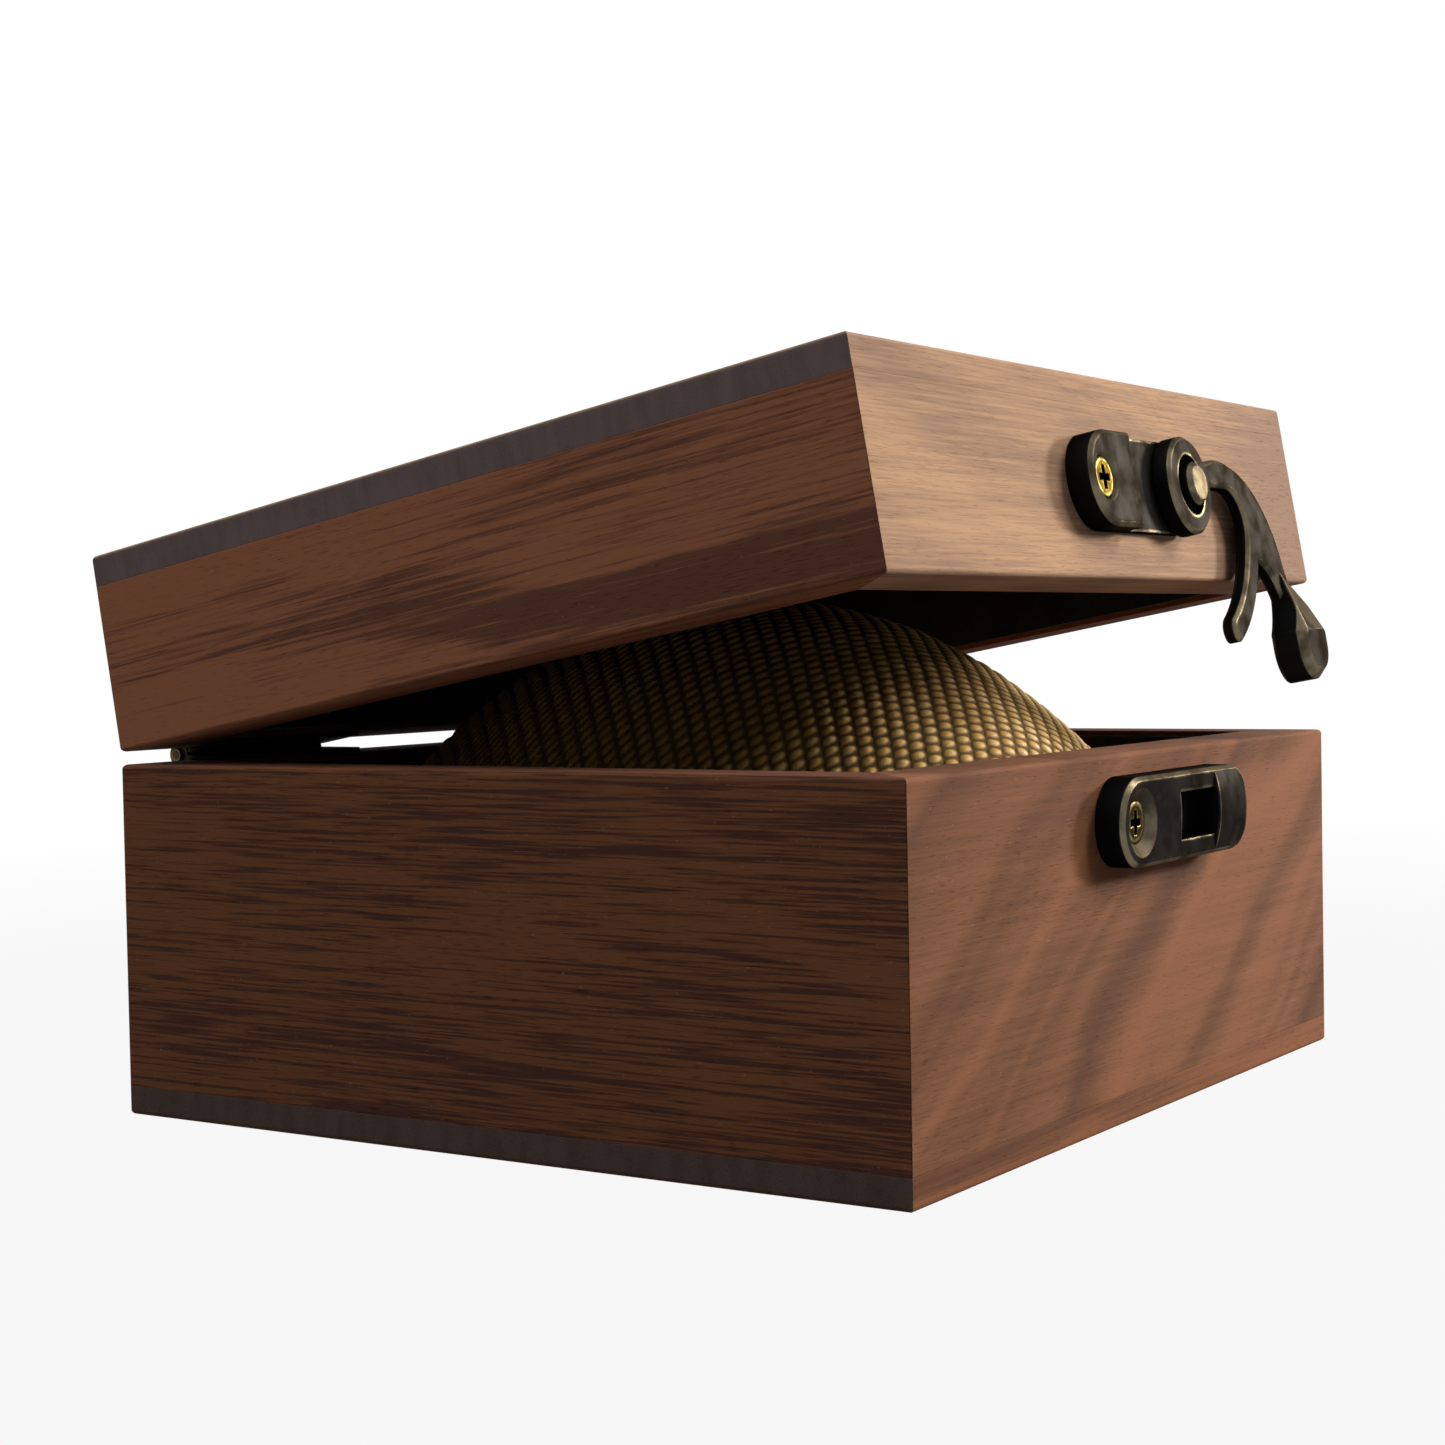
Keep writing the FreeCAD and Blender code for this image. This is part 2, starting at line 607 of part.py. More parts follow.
def make_hook():
    # Flat forked hook: an eye on the rivet, an arm that bends down, a claw on a circle round the pivot that
    # slides into the catch, and a horn that thickens along a ramp into a knob for the thumb
    body = new_body("latch_hook")
    inner, outer = "(%s - claw_width / 2)" % reach, "(%s + claw_width / 2)" % reach
    knob_x, knob_z = polar(reach + " + knob_reach", "knob_angle")
    # The bend leads from the level neck into the claw's inner circle, and the claw's tip is a half circle
    bend_z = "(neck_rise - bend_radius)"
    bend_x = "sqrt((%s - bend_radius) ^ 2 - %s ^ 2)" % (inner, bend_z)
    stretch = "%s / (%s - bend_radius)" % (inner, inner)
    meeting = (bend_x + " * " + stretch, bend_z + " * " + stretch)
    tip_x, tip_z = polar(reach, "claw_angle")
    tip = (tip_x + " - claw_width / 2 * sin(claw_angle)", tip_z + " - claw_width / 2 * cos(claw_angle)")
    # The arm starts inside the eye and its horn ends inside the knob
    arm = sketch_on(body, "XZ_Plane", "hook_arm_outline", offset=hook_back)
    draw_outline(arm, [
        ("neck_start", "neck_rise"),
        (bend_x, "neck_rise", "-bend_radius"),
        meeting + ("-" + inner,),
        polar(inner, "claw_angle") + ("claw_width / 2",),
        tip + ("claw_width / 2",),
        polar(outer, "claw_angle") + (outer,),
        polar(outer, "crotch_angle") + ("-waist_radius",),
        (knob_x + " - knob_width / 8", knob_z),
        (knob_x + " + knob_width * 3 / 8", knob_z),
        polar(reach + " + horn_reach", "horn_angle") + ("arm_radius",),
        ("neck_start", "neck_rise + neck_width")])
    pad(body, arm, "hook_thickness")
    ease_face(body, "Chamfer", "hook_arm_edge", outward, "hook_edge")
    eye = sketch_on(body, "XZ_Plane", "hook_eye_outline", offset=hook_back)
    draw_circle(eye, "eye_diameter")
    pad(body, eye, "eye_thickness")
    ease_face(body, "Chamfer", "hook_eye_edge", outward, "hook_edge")
    knob = sketch_on(body, "XZ_Plane", "hook_knob_outline", offset=hook_back)
    half = "knob_width / 2"
    right, left = knob_x + " + " + half, knob_x + " - " + half
    upper = knob_z + " + (knob_length - knob_width) / 2"
    lower = knob_z + " - (knob_length - knob_width) / 2"
    ramp = polar(reach + " + ramp_reach", "ramp_angle")
    draw_outline(knob, [
        (right, lower), (right, upper), ramp + ("-waist_radius",), (left, upper), (left, lower, half),
        (knob_x, lower + " - " + half, half)])
    pad(body, knob, "knob_thickness")
    ease_face(body, "Chamfer", "hook_knob_edge", outward, "knob_edge")
    slope = sketch_on(body, "YZ_Plane", "hook_ramp")
    low, high = "-(%s + hook_thickness)" % hook_back, "-(%s + knob_thickness)" % hook_back
    above = high + " - knob_edge"
    draw_outline(slope, [(low, ramp[1]), (above, ramp[1]), (above, upper), (high, upper)])
    cut(body, "Pocket", slope, forward=True)
    recess = sketch_on(body, "XZ_Plane", "hook_eye_recess", offset=hook_back + " + eye_thickness")
    draw_circle(recess, "eye_recess")
    cut(body, "Pocket", recess, length="eye_recess_depth")
    bore = sketch_on(body, "XZ_Plane", "hook_bore", offset=hook_back + " + eye_thickness")
    draw_circle(bore, "rivet_diameter + 2 * fit_clearance")
    cut(body, "Pocket", bore)
    return body


def make_catch():
    # Oblong block with a dished screw pad, and a slot that runs out of its right end under a crowned bridge
    body = new_body("latch_catch")
    half = "catch_height / 2"
    left = "(catch_height / 2 - catch_left)"
    outline = sketch_on(body, "XZ_Plane", "catch_outline")
    draw_outline(outline, [
        (left, "-" + half), ("catch_right", "-" + half), ("catch_right", half), (left, half, half),
        ("-catch_left", "0", half)])
    pad(body, outline, "catch_thickness")
    ease_face(body, "Chamfer", "catch_edge", outward, "latch_edge")
    slot = sketch_on(body, "XZ_Plane", "catch_slot", offset="catch_thickness")
    half_slot = "slot_height / 2"
    lobe = "(slot_start + screw_offset)"
    start = "sqrt(%s ^ 2 - (%s) ^ 2) - screw_offset" % (lobe, half_slot)
    past = "catch_right + catch_corner"
    draw_outline(slot, [
        (start, "-" + half_slot), (past, "-" + half_slot), (past, half_slot), (start, half_slot, "-" + lobe)])
    cut(body, "Pocket", slot, length="catch_thickness - catch_floor")
    bridge = sketch_on(body, "YZ_Plane", "catch_bridge", offset="catch_right - bridge_length")
    under = "(%s + hook_thickness + bridge_clearance)" % hook_back
    span = "(%s - latch_edge)" % half
    crown = "(%s ^ 2 + bridge_crown ^ 2) / (2 * bridge_crown)" % span
    draw_outline(bridge, [
        ("-catch_thickness", span, crown), ("-catch_thickness", "-" + span), ("-catch_floor", "-" + span),
        ("-catch_floor", "-" + half_slot), ("-" + under, "-" + half_slot), ("-" + under, half_slot),
        ("-catch_floor", half_slot), ("-catch_floor", span)])
    pad(body, bridge, "bridge_length")
    corners = sketch_on(body, "XZ_Plane", "catch_corners", offset="catch_thickness + bridge_crown")
    inset = "catch_right - catch_corner"
    shoulder = "(%s - catch_corner)" % half
    draw_outline(corners, [
        (inset, half, "-catch_corner"), ("catch_right", shoulder), (past, shoulder), (past, "catch_height"),
        (inset, "catch_height")])
    draw_outline(corners, [
        ("catch_right", "-" + shoulder, "-catch_corner"), (inset, "-" + half), (inset, "-catch_height"),
        (past, "-catch_height"), (past, "-" + shoulder)])
    cut(body, "Pocket", corners)
    sink_screw(body, "catch_screw_hole", "catch_thickness", "dish_depth")
    return body


latch_height = lid_foot + " + plate_rise"
catch_middle = "base_height - catch_drop"
base_front = "-box_depth / 2"
place(make_latch_plate(), lid_frame, y=lid_front, z=latch_height)
place(make_latch_screw("latch_plate_screw", plate_screw_top), lid_frame,
      "-screw_offset", lid_front, latch_height)
place(make_rivet(), lid_frame, "pivot_offset", lid_front, latch_height)
place(make_hook(), lid_frame, "pivot_offset", lid_front, latch_height)
place(make_catch(), base_frame, y=base_front, z=catch_middle)
place(make_latch_screw("catch_screw", catch_screw_top), base_frame, "-screw_offset", base_front, catch_middle)

# Every object has to be sound before anything is written
doc.recompute()
for item in doc.Objects:
    if "Invalid" in item.State or "Error" in item.State:
        raise RuntimeError(item.Label + " failed")
for item, placement in nodes:
    item.Placement = placement
    if item.Shape.isNull() or not item.Shape.isValid():
        raise RuntimeError(item.Label + " has no sound shape")

os.makedirs("parts", exist_ok=True)
for item, placement in nodes:
    item.Shape.exportStep("parts/%s.step" % item.Label)
print("%d nodes, lid ajar by %.2f degrees, claw radius %.2f" % (len(nodes), value("lid_angle"), value(reach)))
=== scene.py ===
import json
import math

import bpy
import numpy as np
from mathutils import Matrix, Vector


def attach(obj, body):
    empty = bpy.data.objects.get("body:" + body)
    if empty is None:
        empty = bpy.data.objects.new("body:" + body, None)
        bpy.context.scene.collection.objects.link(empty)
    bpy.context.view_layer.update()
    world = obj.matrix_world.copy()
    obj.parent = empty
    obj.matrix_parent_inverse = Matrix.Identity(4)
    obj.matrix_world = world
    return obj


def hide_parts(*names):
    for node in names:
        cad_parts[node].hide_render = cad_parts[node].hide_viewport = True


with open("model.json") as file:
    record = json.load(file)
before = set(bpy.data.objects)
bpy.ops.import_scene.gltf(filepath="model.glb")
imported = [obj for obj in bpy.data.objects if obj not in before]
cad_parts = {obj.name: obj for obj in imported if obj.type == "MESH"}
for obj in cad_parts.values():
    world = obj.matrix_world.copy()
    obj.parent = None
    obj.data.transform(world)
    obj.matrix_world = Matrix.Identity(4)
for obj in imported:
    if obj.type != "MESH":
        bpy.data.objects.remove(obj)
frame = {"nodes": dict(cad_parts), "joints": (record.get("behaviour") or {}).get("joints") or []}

nodes = frame["nodes"]
scene = bpy.context.scene
scene.view_settings.view_transform = "Standard"
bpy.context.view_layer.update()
mm = 1000.0     # millimetres in a metre
tiny = 1e-12    # keeps divisions off zero
print("frame loaded,", len(nodes), "nodes")


# shader tree helpers: a value is a number, a colour or the socket it comes from

def fill(tree, node, inputs):    # inputs by name or number in a dictionary, or in order in a list
    for name, value in inputs.items() if isinstance(inputs, dict) else enumerate(inputs):
        if isinstance(value, bpy.types.NodeSocket):
            tree.links.new(value, node.inputs[name])
        else:
            node.inputs[name].default_value = value


def put(tree, kind, inputs=(), **settings):
    node = tree.nodes.new("ShaderNode" + kind)
    for name, value in settings.items():
        setattr(node, name, value)
    fill(tree, node, inputs)
    return node


def calc(tree, operation, *values, clamp=False):
    return put(tree, "Math", values, operation=operation, use_clamp=clamp).outputs[0]


def plus(tree, first, second):
    return calc(tree, "ADD", first, second)


def minus(tree, first, second):
    return calc(tree, "SUBTRACT", first, second)


def times(tree, first, second):
    return calc(tree, "MULTIPLY", first, second)


def centred(tree, value):    # a value between 0 and 1, counted from its middle
    return minus(tree, value, 0.5)


def vector(tree, operation, *values):
    node = put(tree, "VectorMath", values, operation=operation)
    return node.outputs["Value" if operation in ("DOT_PRODUCT", "LENGTH") else "Vector"]


def tint(tree, factor, first, second, mode="MIX"):
    node = put(tree, "Mix", {0: factor, 6: first, 7: second}, data_type="RGBA", blend_type=mode)
    return node.outputs[2]


def spread(tree, value, low, high, toLow=0.0, toHigh=1.0):    # smooth step from low..high to toLow..toHigh
    limits = {0: value, 1: low, 2: high, 3: toLow, 4: toHigh}
    return put(tree, "MapRange", limits, interpolation_type="SMOOTHSTEP").outputs[0]


def noise(tree, place, scale, detail):
    return put(tree, "TexNoise", {"Vector": place, "Scale": scale, "Detail": detail}).outputs[0]


def speckle(tree, place, scale, detail=2.0):    # noise stretched by a scale per axis
    return noise(tree, vector(tree, "MULTIPLY", place, scale), 1.0, detail)


def relief(tree, strength, depth, height, edge=0.0):    # bumps, on edges eased by a radius where one is given
    inputs = {"Strength": strength, "Distance": depth, "Height": height}
    if edge:
        inputs["Normal"] = put(tree, "Bevel", {"Radius": edge}, samples=6).outputs[0]
    return put(tree, "Bump", inputs).outputs[0]


def newGroup(name, takes, gives):
    group = bpy.data.node_groups.new(name, "ShaderNodeTree")
    kinds = {"f": "NodeSocketFloat", "v": "NodeSocketVector", "c": "NodeSocketColor"}
    for label in takes:
        group.interface.new_socket(label[2:], in_out="INPUT", socket_type=kinds[label[0]])
    for label in gives:
        group.interface.new_socket(label[2:], in_out="OUTPUT", socket_type=kinds[label[0]])
    return group, group.nodes.new("NodeGroupInput").outputs, group.nodes.new("NodeGroupOutput")


def useGroup(tree, group, **inputs):
    return put(tree, "Group", inputs, node_tree=group).outputs


def bareMaterial(name):
    material = bpy.data.materials.new(name)
    material.use_nodes = True
    material.node_tree.nodes.clear()
    return material, material.node_tree


def newMaterial(name):
    material, tree = bareMaterial(name)
    shader = put(tree, "BsdfPrincipled")
    put(tree, "OutputMaterial", {"Surface": shader.outputs[0]})
    return material, tree, shader


def dress(material, *names):
    for name in names:
        mesh = nodes[name].data
        mesh.materials.clear()
        mesh.materials.append(material)


# walnut: rings round a leaning heart, long streaks, fine fibre, short dark pores and pale flecks,
# all along the board's local x in mm

walnut = dict(
    toHeart=(0.0, 31.0, 58.0), warpScale=(0.016, 0.05, 0.05), warp=26.0, ringDetail=2.5,      # rings
    streakScale=(0.018, 0.42, 0.42), streakDetail=3.0, lineScale=(0.028, 1.5, 1.5),
    fibreScale=(0.10, 3.8, 3.8), midTone=0.5, heartAndShadeSpan=(-15.0, 60.0), contrast=(0.12, 0.88),
    poreScale=(0.55, 6.0, 6.0), crowdScale=(0.03, 0.16, 0.16), crowd=0.16, poreEdge=(0.66, 0.78),
    poreTint=(0.54, 0.44, 0.38, 1.0), spotDetail=1.0,                                         # pores
    fleckScale=(1.6, 3.4, 3.4), fleckEdge=(0.72, 0.80), fleckShare=0.10, fleckTint=(0.75, 0.62, 0.52, 1.0),
    endEdge=(0.75, 0.95), hatchScale=(0.2, 0.55, 0.16), hatchDetail=3.0, hatchEdge=(0.3, 0.7), hatch=0.22,
    rough=0.76, fibreRough=0.16, poreRough=0.2, fibreRise=0.35, poreDepth=0.7,
    specular=0.14, bump=0.28, bumpDepth=0.00010, arris=0.00014,    # the arris is a sanded edge's radius
)


def walnutGroup():
    group, takes, gives = newGroup(
        "walnutGrain",
        ["v Place", "v Facing", "c Light", "c Dark", "c End", "f Lean", "f Figure", "f Streak", "f Line",
         "f Fibre", "f Pitch", "f Heart", "f Pores"],
        ["c Color", "f Roughness", "f Height"])
    place = takes["Place"]
    leaning = {"Vector": place, "Angle": takes["Lean"]}
    leant = put(group, "VectorRotate", leaning, rotation_type="Y_AXIS").outputs[0]
    warp = speckle(group, leant, walnut["warpScale"])
    heart = vector(group, "MULTIPLY", vector(group, "ADD", leant, walnut["toHeart"]), (0.0, 1.0, 1.0))
    ringWay = plus(group, vector(group, "LENGTH", heart), times(group, warp, walnut["warp"]))
    ringInputs = {"W": calc(group, "DIVIDE", ringWay, takes["Pitch"]), "Scale": 1.0,
                  "Detail": walnut["ringDetail"]}
    rings = put(group, "TexNoise", ringInputs, noise_dimensions="1D").outputs[0]
    streak = speckle(group, place, walnut["streakScale"], walnut["streakDetail"])
    line = speckle(group, place, walnut["lineScale"])
    fibre = speckle(group, place, walnut["fibreScale"])
    poreNoise = speckle(group, place, walnut["poreScale"], walnut["spotDetail"])
    poreCrowd = speckle(group, place, walnut["crowdScale"], walnut["spotDetail"])
    crowded = plus(group, poreNoise, times(group, poreCrowd, walnut["crowd"]))
    pores = spread(group, crowded, *walnut["poreEdge"])
    fleckNoise = speckle(group, place, walnut["fleckScale"], walnut["spotDetail"])
    flecks = spread(group, fleckNoise, *walnut["fleckEdge"])
    value = walnut["midTone"]
    for layer, strength in ((rings, "Figure"), (streak, "Streak"), (line, "Line"), (fibre, "Fibre")):
        value = plus(group, value, times(group, centred(group, layer), takes[strength]))
    along = put(group, "SeparateXYZ", [leant]).outputs[0]     # further along the board it gets darker by the heart strength: heartwood, and painted shade on the lid's front and top
    darker = times(group, spread(group, along, *walnut["heartAndShadeSpan"]), takes["Heart"])
    value = minus(group, value, darker)
    colour = tint(group, spread(group, value, *walnut["contrast"]), takes["Dark"], takes["Light"])
    across = calc(group, "ABSOLUTE", vector(group, "DOT_PRODUCT", takes["Facing"], (1.0, 0.0, 0.0)))
    endMask = spread(group, across, *walnut["endEdge"])
    # the wood's rays show as a fine hatch on the sawn ends
    hatch = speckle(group, place, walnut["hatchScale"], walnut["hatchDetail"])
    endShade = tint(group, walnut["hatch"], takes["End"], (0.0, 0.0, 0.0, 1.0))
    endColour = tint(group, spread(group, hatch, *walnut["hatchEdge"]), endShade, takes["End"])
    colour = tint(group, endMask, colour, endColour)
    poreColour = tint(group, 1.0, colour, walnut["poreTint"], "MULTIPLY")
    colour = tint(group, times(group, pores, takes["Pores"]), colour, poreColour)
    colour = tint(group, times(group, flecks, walnut["fleckShare"]), colour, walnut["fleckTint"])
    rough = plus(group, times(group, fibre, walnut["fibreRough"]), times(group, pores, walnut["poreRough"]))
    high = minus(group, times(group, fibre, walnut["fibreRise"]), times(group, pores, walnut["poreDepth"]))
    fill(group, gives, {"Color": colour, "Roughness": plus(group, rough, walnut["rough"]), "Height": high})
    return group


walnutGrain = walnutGroup()
lidAngle = math.radians(-next(j for j in frame["joints"] if j["name"] == "lid_hinge")["range_deg"][0])

# each board: light, dark and sawn end colour, strengths of its figure, and where it lay in the log
# the lid's front and top: their pale tan is partly painted sheen, and their darkening towards the right
# (heart) is painted shade
lidFace = dict(
    light=(0.585, 0.348, 0.203), dark=(0.315, 0.188, 0.124), lean=-24, figure=0.75, streak=0.40, line=0.5,
    fibre=0.9, pitch=14.0, heart=0.85, pores=0.14, log=(0, 22, 3))
boards = {
    "lid_top_board": dict(lidFace, end=(0.198, 0.134, 0.128)),
    "lid_front_wall": dict(lidFace, end=(0.09, 0.05, 0.035)),
    "lid_back_wall": dict(
        light=(0.40, 0.24, 0.15), dark=(0.20, 0.105, 0.062), end=(0.09, 0.05, 0.035), lean=5,
        figure=1.0, streak=0.6, line=0.6, fibre=0.7, pitch=9.0, heart=0.2, pores=0.3, log=(80, 41, 17)),
    "lid_left_wall": dict(
        light=(0.388, 0.147, 0.071), dark=(0.148, 0.057, 0.036), end=(0.06, 0.04, 0.03), lean=2,
        figure=1.4, streak=0.8, line=1.0, fibre=1.8, pitch=6.5, heart=-0.45, pores=0.35, log=(15, 63, 38)),
    # the lid's right wall is written darker than the left, partly as painted shade so that its lower rim
    # stays dark
    "lid_right_wall": dict(
        light=(0.180, 0.066, 0.027), dark=(0.080, 0.031, 0.015), end=(0.06, 0.04, 0.03), lean=-3,
        figure=0.9, streak=0.8, line=1.0, fibre=0.8, pitch=8.0, heart=-0.3, pores=0.4, log=(55, 87, 35)),
    "base_front_wall": dict(
        light=(0.290, 0.116, 0.054), dark=(0.106, 0.042, 0.021), end=(0.06, 0.04, 0.03), lean=35,
        figure=1.45, streak=0.25, line=0.28, fibre=0.40, pitch=13.0, heart=0.0, pores=0.14, log=(25, 17, 46)),
    "base_back_wall": dict(
        light=(0.236, 0.086, 0.035), dark=(0.085, 0.032, 0.015), end=(0.06, 0.04, 0.03), lean=20,
        figure=1.2, streak=0.5, line=0.6, fibre=0.7, pitch=12.0, heart=0.0, pores=0.3, log=(65, 51, 58)),
    "base_left_wall": dict(
        light=(0.213, 0.077, 0.034), dark=(0.070, 0.027, 0.018), end=(0.05, 0.035, 0.03), lean=4,
        figure=1.0, streak=1.1, line=2.0, fibre=3.4, pitch=7.0, heart=-0.15, pores=0.4, log=(35, 74, 13)),
    "base_right_wall": dict(
        light=(0.150, 0.052, 0.021), dark=(0.062, 0.024, 0.011), end=(0.05, 0.035, 0.03), lean=-5,
        figure=0.8, streak=0.9, line=1.1, fibre=0.9, pitch=7.0, heart=0.0, pores=0.4, log=(75, 31, 69)),
    "base_bottom_board": dict(
        light=(0.275, 0.105, 0.045), dark=(0.120, 0.046, 0.023), end=(0.110, 0.067, 0.058), lean=6,
        figure=0.8, streak=0.8, line=0.8, fibre=0.7, pitch=9.0, heart=0.0, pores=0.3, log=(5, 93, 21)),
}


def walnutBoard(name, board):
    material, tree, shader = newMaterial("walnut_" + name)
    coords = put(tree, "TexCoord").outputs
    tilt = lidAngle if name.startswith("lid_") else 0.0
    alongY = name.endswith(("left_wall", "right_wall"))
    turn = (tilt, 0.0, -math.pi / 2 if alongY else 0.0)    # levels the lid and brings the grain onto x
    inMm = {"Vector": coords["Object"], "Location": board["log"], "Rotation": turn, "Scale": (mm, mm, mm)}
    place = put(tree, "Mapping", inMm).outputs[0]
    facing = put(tree, "Mapping", {"Vector": coords["Normal"], "Rotation": turn}, vector_type="VECTOR")
    colours = {key.title(): (*board[key], 1.0) for key in ("light", "dark", "end")}
    strengths = ("figure", "streak", "line", "fibre", "pitch", "heart", "pores")
    grain = useGroup(tree, walnutGrain, Place=place, Facing=facing.outputs[0],
                     Lean=math.radians(board["lean"]), **colours,
                     **{key.title(): board[key] for key in strengths})
    fill(tree, shader, {
        "Base Color": grain["Color"], "Roughness": grain["Roughness"],
        "Specular IOR Level": walnut["specular"],
        "Normal": relief(tree, walnut["bump"], walnut["bumpDepth"], grain["Height"], walnut["arris"])})
    dress(material, name)


for name, board in boards.items():
    walnutBoard(name, board)
print("walnut on", len(boards), "boards")


# antique finish: dark patina, which stays on the sides, near black in hollows as patina and painted shade;
# faces turned to the front rubbed paler and painted lighter as if lit; bright on raised edges, and on
# chamfers turned to the front as painted highlight;
# rays sent inwards meet the far side soon near a raised edge, rays sent outwards meet a wall near a hollow

wear = dict(
    innerRays=12, outerRays=10, outerReach=11.0, blotchDetail=3.0, patchy=0.30, hollow=(0.45, 0.97),
    front=(0.0, -1.0, 0.09), slantFrom=(0.30, 0.62), slantTo=(0.84, 0.96), slantShare=0.8, thin=(0.14, 0.40),
    worn=(0.34, 0.66, 0.25, 1.0),                              # hands rub some stretches of an edge more
    face=(0.70, 1.05), faceBlotch=(0.30, 0.70, 0.45, 1.0),
    deep=(0.004, 0.004, 0.004, 1.0), blotchShine=0.4, polish=(-0.6, 1.2), mirror=(0.42, 0.41, 0.40, 1.0),
    grit=3500.0, gritDetail=2.0, gritDepth=0.00008, edge=0.00035,
)


def wearGroup():
    group, takes, gives = newGroup("edgeWear", ["v Place", "v Facing", "f Reach", "f Patch"],
                                   ["f Edge", "f Hollow", "f Face", "f Blotch"])
    inner = put(group, "AmbientOcclusion", {"Distance": takes["Reach"]}, samples=wear["innerRays"],
                inside=True, only_local=True).outputs["AO"]
    farReach = times(group, takes["Reach"], wear["outerReach"])
    outer = put(group, "AmbientOcclusion", {"Distance": farReach}, samples=wear["outerRays"]).outputs["AO"]
    blotch = noise(group, takes["Place"], takes["Patch"], wear["blotchDetail"])
    patchy = times(group, centred(group, blotch), wear["patchy"])
    # hollows found by the outward rays: painted shade, together with dark patina
    hollow = spread(group, outer, *wear["hollow"], 1.0, 0.0)
    thin = plus(group, minus(group, 1.0, inner), patchy)
    bare = minus(group, 1.0, hollow)
    # how far a face turns to the front: faces and chamfers turned that way are painted lighter, as painted
    # light
    front = plus(group, vector(group, "DOT_PRODUCT", takes["Facing"], wear["front"]), patchy)
    notFlat = spread(group, front, *wear["slantTo"], 1.0, 0.0)
    slanted = times(group, spread(group, front, *wear["slantFrom"]), notFlat)
    slanted = times(group, slanted, wear["slantShare"])
    rubbedAndLit = calc(group, "MAXIMUM", spread(group, thin, *wear["thin"]), slanted)
    edge = times(group, times(group, rubbedAndLit, bare), spread(group, blotch, *wear["worn"]))
    face = times(group, spread(group, front, *wear["face"]), bare)
    face = times(group, face, spread(group, blotch, *wear["faceBlotch"]))
    fill(group, gives, {"Edge": edge, "Hollow": hollow, "Face": face, "Blotch": blotch})
    return group


edgeWear = wearGroup()

# patina, front-face tone (rubbing and painted light) and bright edge of each finish
metals = {
    "bronze": dict(
        patina=(0.010, 0.010, 0.010), rubbedAndLit=(0.025, 0.0245, 0.024), bright=(0.19, 0.152, 0.096),
        reach=0.0005, patch=330.0, rough=(0.62, 0.30), bump=0.14),
    "rivet_bronze": dict(
        patina=(0.024, 0.020, 0.015), rubbedAndLit=(0.105, 0.088, 0.061), bright=(0.165, 0.137, 0.091),
        reach=0.0005, patch=700.0, rough=(0.60, 0.30), bump=0.12),
    "plate_screw_brass": dict(
        patina=(0.030, 0.022, 0.010), rubbedAndLit=(0.062, 0.046, 0.019), bright=(0.115, 0.086, 0.038),
        reach=0.0004, patch=1500.0, rough=(0.58, 0.28), bump=0.12),
    "catch_screw_brass": dict(
        patina=(0.012, 0.010, 0.008), rubbedAndLit=(0.040, 0.031, 0.019), bright=(0.24, 0.187, 0.095),
        reach=0.0004, patch=1500.0, rough=(0.60, 0.30), bump=0.12),
    "hinge_brass": dict(
        patina=(0.052, 0.041, 0.024), rubbedAndLit=(0.09, 0.07, 0.04), bright=(0.22, 0.165, 0.085),
        reach=0.0003, patch=500.0, rough=(0.62, 0.30), bump=0.12),
}


def metalFinish(name, finish):
    material, tree, shader = newMaterial(name)
    coords = put(tree, "TexCoord").outputs
    worn = useGroup(tree, edgeWear, Place=coords["Object"], Facing=coords["Normal"], Reach=finish["reach"],
                    Patch=finish["patch"])
    # faces turned to the front get the paler tone: rubbing and painted light
    tone = tint(tree, worn["Face"], (*finish["patina"], 1.0), (*finish["rubbedAndLit"], 1.0))
    tone = tint(tree, worn["Edge"], tone, (*finish["bright"], 1.0))
    # hollows go near black: patina and painted shade
    tone = tint(tree, worn["Hollow"], tone, wear["deep"])
    polish = plus(tree, worn["Edge"], times(tree, worn["Blotch"], wear["blotchShine"]))
    polish = minus(tree, polish, worn["Hollow"])
    grit = noise(tree, coords["Object"], wear["grit"], wear["gritDetail"])
    fill(tree, shader, {
        "Base Color": tone, "Roughness": spread(tree, polish, *wear["polish"], *finish["rough"]),
        "Metallic": 1.0, "Specular Tint": wear["mirror"],
        "Normal": relief(tree, finish["bump"], wear["gritDepth"], grit, wear["edge"])})
    return material


finishes = {name: metalFinish(name, finish) for name, finish in metals.items()}
dress(finishes["bronze"], "latch_plate", "latch_hook", "latch_catch")
dress(finishes["rivet_bronze"], "latch_rivet")
dress(finishes["plate_screw_brass"], "latch_plate_screw")
dress(finishes["catch_screw_brass"], "catch_screw")
dress(finishes["hinge_brass"], "hinge_base_screws", "hinge_lid_screws",
      *[n for n in nodes if n.startswith(("left_hinge", "right_hinge"))])
print("metal finishes:", ", ".join(metals))


# lining: black velvet with a short pile

velvet = dict(
    low=(0.006, 0.006, 0.007, 1.0), high=(0.016, 0.016, 0.018, 1.0), tone=(0.35, 0.65),
    nap=140.0, napDetail=3.0, napShare=0.65, pile=4200.0, pileDetail=2.0, pileShare=0.35,
    rough=(0.3, 0.7, 0.98, 0.86), specular=0.2, sheen=0.2, sheenRough=0.45,
    sheenTint=(0.7, 0.72, 0.78, 1.0), bump=0.5, bumpDepth=0.0002,
)


